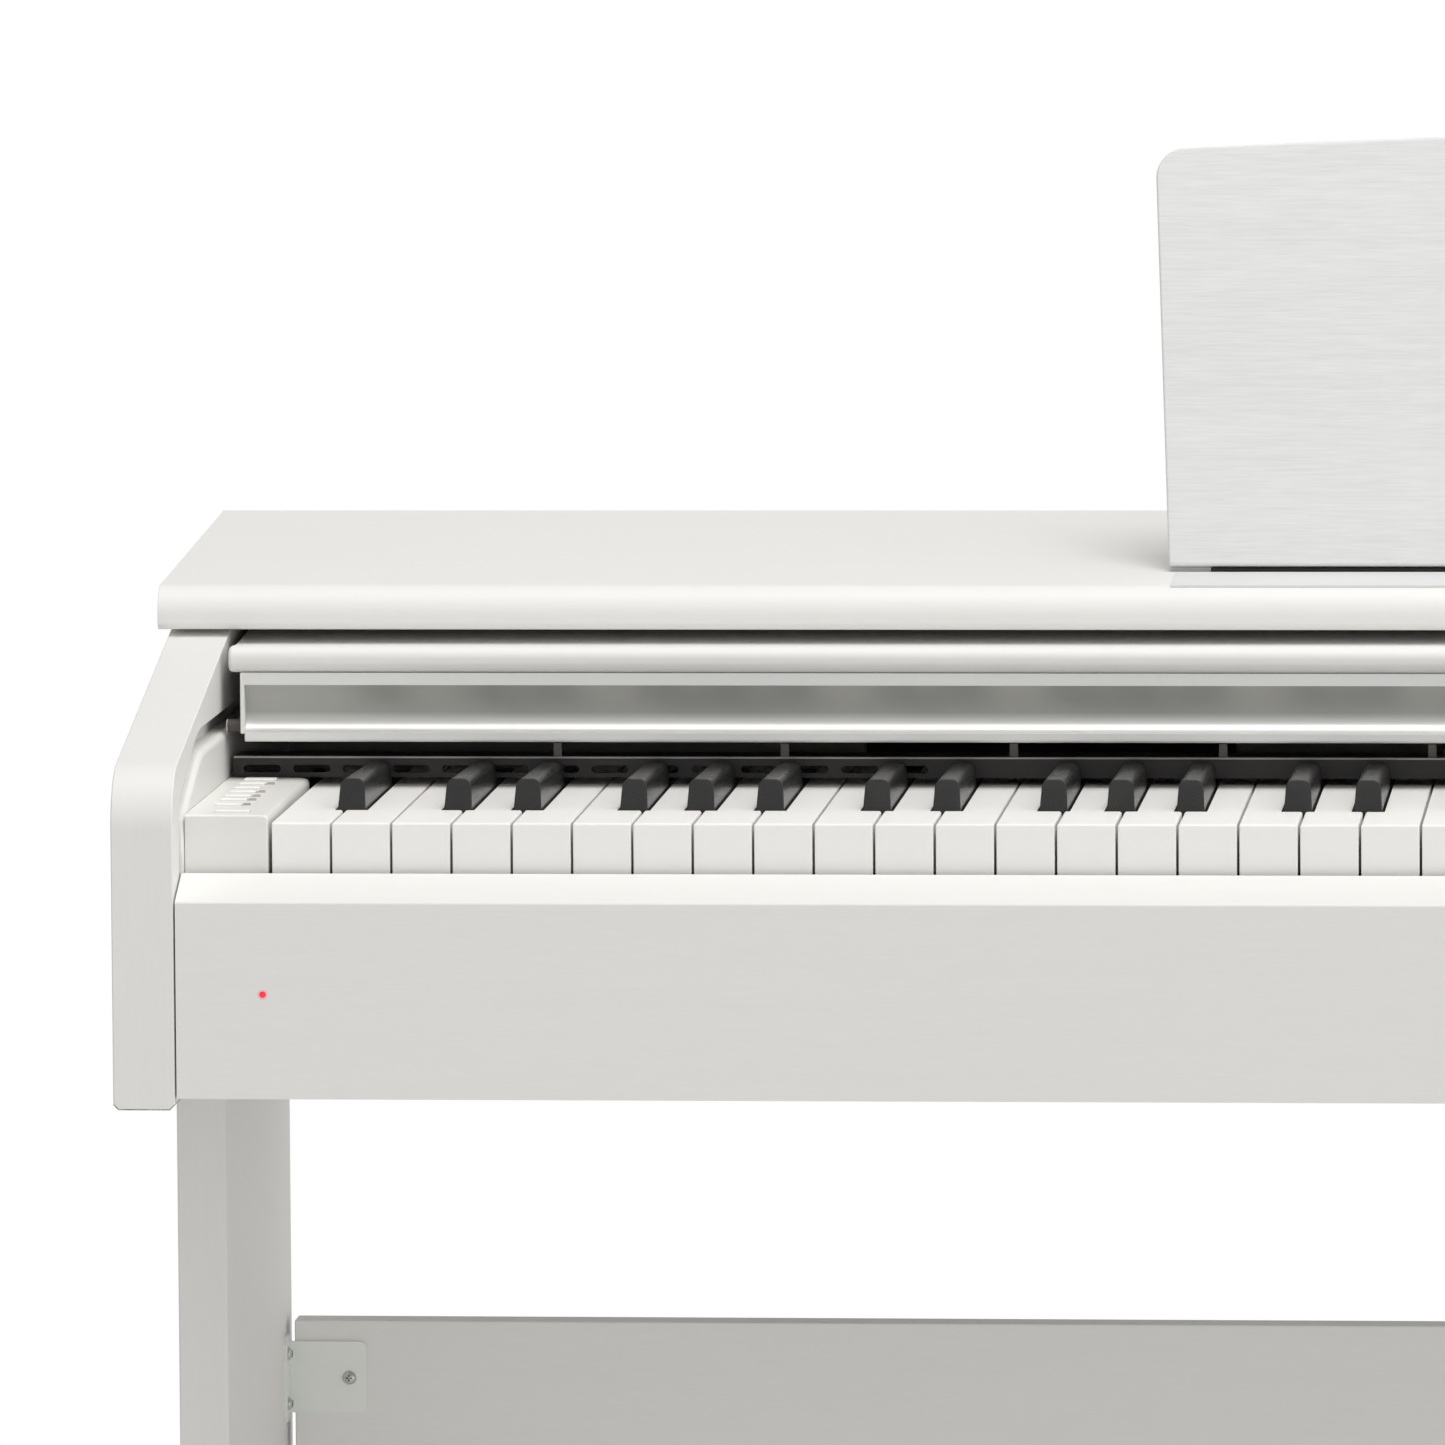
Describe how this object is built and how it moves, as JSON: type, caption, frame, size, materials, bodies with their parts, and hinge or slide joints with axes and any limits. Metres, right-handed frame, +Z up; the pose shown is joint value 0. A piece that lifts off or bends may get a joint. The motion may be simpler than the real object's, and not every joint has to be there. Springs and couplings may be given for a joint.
{
  "type": "digital piano",
  "caption": "White wood-grain console digital piano on a panel stand with pedals, open sliding key cover and raised folding music rest.",
  "frame": {"origin": "on the floor under the middle of the instrument", "axes": "+Z up, +X along the keyboard to the treble end, +Y from the player to the back"},
  "size_m": [1.3528, 0.412, 0.9906],
  "materials": {
    "laminate": "satin white foil with a fine horizontal wood grain",
    "bare_board": "matt grey-white backing paper on particle board",
    "white_plastic": "fine moulded texture",
    "key_white": "polished",
    "key_black": "satin with softly shining edges",
    "silver_trim": "satin anodised, brushed along its length",
    "black_rail": "satin black",
    "frame_plastic": "moulded",
    "felt": "pressed felt",
    "circuit": "solder-masked board",
    "lamp": "clear coloured lens",
    "speaker_black": "paper cone and pressed basket",
    "jack_plastic": "fine moulded texture",
    "zinc": "zinc plated",
    "bracket_paint": "satin paint",
    "pedal_brass": "polished"
  },
  "bodies": {
    "cabinet": {"side_arm_left": "laminate", "side_arm_right": "laminate", "top_board": "laminate", "keyslip": "laminate", "cheek_liners": "laminate", "leg_left": "laminate", "leg_right": "laminate", "foot_left": "laminate", "foot_right": "laminate", "back_panel": "laminate", "pedal_box": "laminate", "key_bed": "bare_board", "rear_board": "bare_board", "control_block": "white_plastic", "cheek_block_right": "white_plastic", "rest_strip": "silver_trim", "key_back_rail": "black_rail", "key_frame": "frame_plastic", "fallboard_tracks": "frame_plastic", "key_felts": "felt", "contact_board": "circuit", "main_board": "circuit", "indicator_lamps": "lamp", "speakers": "speaker_black", "rear_jack_plate": "jack_plastic", "adjuster_foot": "jack_plastic", "stand_screws": "zinc", "music_rest_brackets": "zinc", "pedal_frame": "zinc", "corner_brackets": "bracket_paint"},
    "fallboard": {"fallboard_panel": "laminate", "fallboard_lip": "laminate", "fallboard_trim": "silver_trim", "fallboard_end_caps": "white_plastic"},
    "music_rest": {"music_rest_panel": "laminate", "music_rest_leaves": "zinc"},
    "rest_stays": {"music_rest_stays": "zinc"},
    "keys_c": {"keys_c": "key_white"},
    "keys_c_sharp": {"keys_c_sharp": "key_black"},
    "keys_d": {"keys_d": "key_white"},
    "keys_d_sharp": {"keys_d_sharp": "key_black"},
    "keys_e": {"keys_e": "key_white"},
    "keys_f": {"keys_f": "key_white"},
    "keys_f_sharp": {"keys_f_sharp": "key_black"},
    "keys_g": {"keys_g": "key_white"},
    "keys_g_sharp": {"keys_g_sharp": "key_black"},
    "keys_a": {"keys_a": "key_white"},
    "keys_a_sharp": {"keys_a_sharp": "key_black"},
    "keys_b": {"keys_b": "key_white"},
    "button_1": {"panel_button_1": "white_plastic"},
    "button_2": {"panel_button_2": "white_plastic"},
    "button_3": {"panel_button_3": "white_plastic"},
    "button_4": {"panel_button_4": "white_plastic"},
    "button_5": {"panel_button_5": "white_plastic"},
    "button_6": {"panel_button_6": "white_plastic"},
    "button_7": {"panel_button_7": "white_plastic"},
    "button_8": {"panel_button_8": "white_plastic"},
    "pedal_left": {"pedal_left": "pedal_brass"},
    "pedal_middle": {"pedal_middle": "pedal_brass"},
    "pedal_right": {"pedal_right": "pedal_brass"}
  },
  "joints": [
    {"name": "press_c", "type": "hinge", "parent": "cabinet", "child": "keys_c", "pos_m": [0, 0.045, 0.724], "axis": [1, 0, 0], "range_deg": [0, 2.4], "stiffness_Nm_per_rad": 180, "springref_deg": -3.44},
    {"name": "press_c_sharp", "type": "hinge", "parent": "cabinet", "child": "keys_c_sharp", "pos_m": [0, 0.045, 0.724], "axis": [1, 0, 0], "range_deg": [0, 2.4], "stiffness_Nm_per_rad": 180, "springref_deg": -3.44},
    {"name": "press_d", "type": "hinge", "parent": "cabinet", "child": "keys_d", "pos_m": [0, 0.045, 0.724], "axis": [1, 0, 0], "range_deg": [0, 2.4], "stiffness_Nm_per_rad": 180, "springref_deg": -3.44},
    {"name": "press_d_sharp", "type": "hinge", "parent": "cabinet", "child": "keys_d_sharp", "pos_m": [0, 0.045, 0.724], "axis": [1, 0, 0], "range_deg": [0, 2.4], "stiffness_Nm_per_rad": 180, "springref_deg": -3.44},
    {"name": "press_e", "type": "hinge", "parent": "cabinet", "child": "keys_e", "pos_m": [0, 0.045, 0.724], "axis": [1, 0, 0], "range_deg": [0, 2.4], "stiffness_Nm_per_rad": 180, "springref_deg": -3.44},
    {"name": "press_f", "type": "hinge", "parent": "cabinet", "child": "keys_f", "pos_m": [0, 0.045, 0.724], "axis": [1, 0, 0], "range_deg": [0, 2.4], "stiffness_Nm_per_rad": 180, "springref_deg": -3.44},
    {"name": "press_f_sharp", "type": "hinge", "parent": "cabinet", "child": "keys_f_sharp", "pos_m": [0, 0.045, 0.724], "axis": [1, 0, 0], "range_deg": [0, 2.4], "stiffness_Nm_per_rad": 180, "springref_deg": -3.44},
    {"name": "press_g", "type": "hinge", "parent": "cabinet", "child": "keys_g", "pos_m": [0, 0.045, 0.724], "axis": [1, 0, 0], "range_deg": [0, 2.4], "stiffness_Nm_per_rad": 180, "springref_deg": -3.44},
    {"name": "press_g_sharp", "type": "hinge", "parent": "cabinet", "child": "keys_g_sharp", "pos_m": [0, 0.045, 0.724], "axis": [1, 0, 0], "range_deg": [0, 2.4], "stiffness_Nm_per_rad": 180, "springref_deg": -3.44},
    {"name": "press_a", "type": "hinge", "parent": "cabinet", "child": "keys_a", "pos_m": [0, 0.045, 0.724], "axis": [1, 0, 0], "range_deg": [0, 2.4], "stiffness_Nm_per_rad": 180, "springref_deg": -3.44},
    {"name": "press_a_sharp", "type": "hinge", "parent": "cabinet", "child": "keys_a_sharp", "pos_m": [0, 0.045, 0.724], "axis": [1, 0, 0], "range_deg": [0, 2.4], "stiffness_Nm_per_rad": 180, "springref_deg": -3.44},
    {"name": "press_b", "type": "hinge", "parent": "cabinet", "child": "keys_b", "pos_m": [0, 0.045, 0.724], "axis": [1, 0, 0], "range_deg": [0, 2.4], "stiffness_Nm_per_rad": 180, "springref_deg": -3.44},
    {"name": "push_button_1", "type": "slide", "parent": "cabinet", "child": "button_1", "axis": [0, 0, -1], "range_m": [0, 0.0008], "stiffness_N_per_m": 600, "springref_m": -0.0004},
    {"name": "push_button_2", "type": "slide", "parent": "cabinet", "child": "button_2", "axis": [0, 0, -1], "range_m": [0, 0.0008], "stiffness_N_per_m": 600, "springref_m": -0.0004},
    {"name": "push_button_3", "type": "slide", "parent": "cabinet", "child": "button_3", "axis": [0, 0, -1], "range_m": [0, 0.0008], "stiffness_N_per_m": 600, "springref_m": -0.0004},
    {"name": "push_button_4", "type": "slide", "parent": "cabinet", "child": "button_4", "axis": [0, 0, -1], "range_m": [0, 0.0008], "stiffness_N_per_m": 600, "springref_m": -0.0004},
    {"name": "push_button_5", "type": "slide", "parent": "cabinet", "child": "button_5", "axis": [0, 0, -1], "range_m": [0, 0.0008], "stiffness_N_per_m": 600, "springref_m": -0.0004},
    {"name": "push_button_6", "type": "slide", "parent": "cabinet", "child": "button_6", "axis": [0, 0, -1], "range_m": [0, 0.0008], "stiffness_N_per_m": 600, "springref_m": -0.0004},
    {"name": "push_button_7", "type": "slide", "parent": "cabinet", "child": "button_7", "axis": [0, 0, -1], "range_m": [0, 0.0008], "stiffness_N_per_m": 600, "springref_m": -0.0004},
    {"name": "push_button_8", "type": "slide", "parent": "cabinet", "child": "button_8", "axis": [0, 0, -1], "range_m": [0, 0.0008], "stiffness_N_per_m": 600, "springref_m": -0.0004},
    {"name": "press_pedal_left", "type": "hinge", "parent": "cabinet", "child": "pedal_left", "pos_m": [-0.076, 0.158, 0.076], "axis": [1, 0, 0], "range_deg": [0, 5.5], "stiffness_Nm_per_rad": 25, "springref_deg": -5.73},
    {"name": "press_pedal_middle", "type": "hinge", "parent": "cabinet", "child": "pedal_middle", "pos_m": [0, 0.158, 0.076], "axis": [1, 0, 0], "range_deg": [0, 5.5], "stiffness_Nm_per_rad": 25, "springref_deg": -5.73},
    {"name": "press_pedal_right", "type": "hinge", "parent": "cabinet", "child": "pedal_right", "pos_m": [0.076, 0.158, 0.076], "axis": [1, 0, 0], "range_deg": [0, 5.5], "stiffness_Nm_per_rad": 25, "springref_deg": -5.73},
    {"name": "slide_fallboard", "type": "slide", "parent": "cabinet", "child": "fallboard", "axis": [0, -0.999, -0.0436], "range_m": [0, 0.135]},
    {"name": "fold_music_rest", "type": "hinge", "parent": "cabinet", "child": "music_rest", "pos_m": [0, 0.034, 0.81847], "axis": [-1, 0, 0], "range_deg": [0, 70]},
    {"name": "fold_rest_stays", "type": "hinge", "parent": "music_rest", "child": "rest_stays", "pos_m": [0, 0.05471, 0.89574], "axis": [1, 0, 0], "range_deg": [0, 140]}
  ],
  "couplings": [
    {"joint": "fold_rest_stays", "follows": "fold_music_rest", "ratio": 2}
  ]
}
